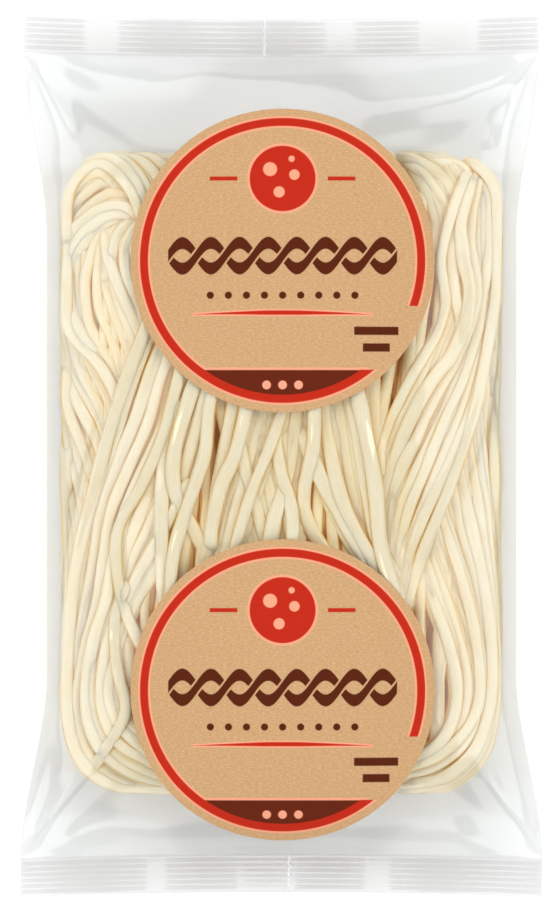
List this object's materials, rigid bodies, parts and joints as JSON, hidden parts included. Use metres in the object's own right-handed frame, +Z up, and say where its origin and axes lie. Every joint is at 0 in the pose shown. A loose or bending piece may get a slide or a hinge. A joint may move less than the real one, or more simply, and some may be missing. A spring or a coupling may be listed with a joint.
{
  "type": "sealed pack of string cheese threads",
  "caption": "Clear sealed pillow pack filled with long pulled string cheese threads, lying flat, with round kraft paper labels on its upper face.",
  "frame": {"origin": "centre of the pack's outline, on the surface that it lies on", "axes": "+Z up from the flat underside to the labelled face, +Y along the pack to its head seal, +X to the right as the labels are seen from above"},
  "size_m": [0.1536, 0.26, 0.0308],
  "materials": {
    "cheese": "moist, slightly glossy pulled cheese",
    "clear_film": "clear glossy film",
    "kraft_paper": "matt kraft paper with printed bands"
  },
  "bodies": {
    "root": {"thread_pack": "cheese", "label_head": "kraft_paper", "label_foot": "kraft_paper"}
  },
  "joints": []
}
